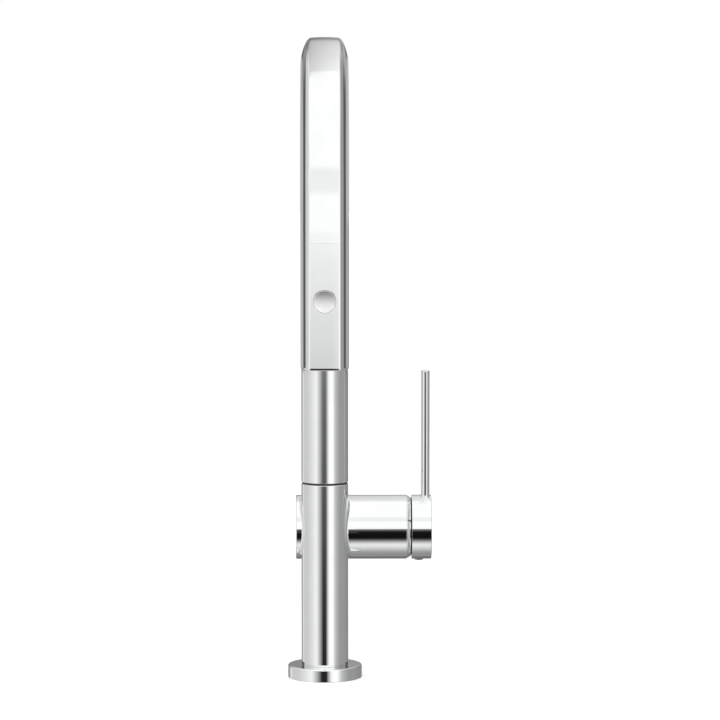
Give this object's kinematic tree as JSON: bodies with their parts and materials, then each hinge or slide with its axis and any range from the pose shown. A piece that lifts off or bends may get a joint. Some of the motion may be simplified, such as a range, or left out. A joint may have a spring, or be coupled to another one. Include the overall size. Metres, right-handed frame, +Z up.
{
  "type": "kitchen mixer tap",
  "caption": "Pull-out kitchen mixer with a slim round column, swivelling arch spout, flat-faced spray handset with push button, and side pin lever.",
  "frame": {"origin": "on the column's axis, at the height of the worktop's upper face", "axes": "+Z up along the column, -Y towards the user and the spout's reach, +X towards the lever"},
  "size_m": [0.1012, 0.2841, 0.5489],
  "materials": {
    "chrome": "polished chrome plate",
    "brass": "turned, unplated",
    "steel": "bright drawn",
    "black_plastic": "satin moulded",
    "white_plastic": "moulded",
    "grey_plastic": "fine moulded texture",
    "rubber": "moulded",
    "ceramic": "lapped ceramic",
    "hose": "woven nylon jacket"
  },
  "bodies": {
    "mixer_body": {"base_flange": "chrome", "base_gasket": "rubber", "column_body": "chrome", "mounting_shank": "brass", "rubber_washer": "rubber", "steel_washer": "steel", "mounting_nut": "brass", "turning_ring": "black_plastic", "neck_bushes": "white_plastic", "hose_guide": "white_plastic", "hose_lower": "hose", "hose_end_fitting": "brass", "cartridge_base": "white_plastic", "inlet_seals": "rubber", "fixed_disc": "ceramic", "cartridge_shell": "white_plastic", "cartridge_nut": "brass", "dome_ring": "chrome", "temperature_mark": "black_plastic", "tail_carrier": "white_plastic", "mixed_socket": "brass", "hot_socket": "brass", "cold_socket": "brass"},
    "spout": {"spout_tube": "chrome", "spout_stop_screw": "chrome", "dock_sleeve": "white_plastic", "hose_arch": "hose"},
    "handset": {"handset_shell": "chrome", "handset_core": "white_plastic", "neck_ring": "rubber", "check_valve": "white_plastic", "hose_ferrule": "steel", "hose_drawn": "hose", "button_spring": "steel", "spray_plate": "grey_plastic", "spray_nozzles": "rubber", "aerator": "grey_plastic", "core_seal": "rubber"},
    "spray_button": {"button_cap": "chrome", "valve_spool": "white_plastic"},
    "temperature_rotor": {"cartridge_rotor": "white_plastic", "tilt_pin": "steel"},
    "lever": {"lever_stem": "steel", "lever_hub": "chrome", "lever_pin": "chrome", "hub_screw": "steel", "hub_plug": "black_plastic"},
    "flow_disc": {"moving_disc": "ceramic", "disc_carrier": "white_plastic"}
  },
  "joints": [
    {"name": "spout_swivel", "type": "hinge", "parent": "mixer_body", "child": "spout", "pos_m": [0, 0, 0.1382], "axis": [0, 0, 1], "range_deg": [-75, 75]},
    {"name": "handset_pull", "type": "slide", "parent": "spout", "child": "handset", "axis": [0, 0, -1], "range_m": [0, 0.45], "deforming": ["hose_drawn"]},
    {"name": "button_press", "type": "slide", "parent": "handset", "child": "spray_button", "axis": [0, 1, 0], "range_m": [0, 0.0016], "stiffness_N_per_m": 900, "springref_m": -0.001},
    {"name": "lever_turn", "type": "hinge", "parent": "mixer_body", "child": "temperature_rotor", "pos_m": [0.0463, 0.0165, 0.10405], "axis": [1, 0, 0], "range_deg": [-45, 45]},
    {"name": "lever_tilt", "type": "hinge", "parent": "temperature_rotor", "child": "lever", "pos_m": [0.0463, 0.0165, 0.10405], "axis": [0, 1, 0], "range_deg": [0, 18]},
    {"name": "disc_slide", "type": "slide", "parent": "temperature_rotor", "child": "flow_disc", "axis": [0, 0, 1], "range_m": [0, 0.00355]}
  ],
  "couplings": [
    {"joint": "disc_slide", "follows": "lever_tilt", "m_per_rad": 0.0112}
  ]
}
